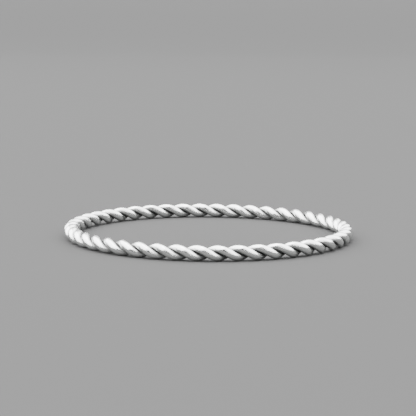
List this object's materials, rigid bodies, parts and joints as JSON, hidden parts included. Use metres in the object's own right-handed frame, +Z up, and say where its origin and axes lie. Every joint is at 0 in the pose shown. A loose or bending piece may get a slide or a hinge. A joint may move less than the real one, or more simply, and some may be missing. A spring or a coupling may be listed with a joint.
{
  "type": "twisted wire bangle",
  "caption": "Closed round bangle of two silver wires laid tightly together in a right-hand twist like a rope, resting on its side.",
  "frame": {"origin": "under the centre of the ring, on the surface that the bangle rests on", "axes": "+Z up along the ring's own axis; X and Y lie in the plane of the ring, and a crown of each wire lies on +X"},
  "size_m": [0.0722, 0.0724, 0.0037],
  "materials": {
    "silver": "polished silver with fine drawing lines along the wires, a little darkened where they lie together"
  },
  "bodies": {
    "root": {"first_wire": "silver", "second_wire": "silver"}
  },
  "joints": []
}
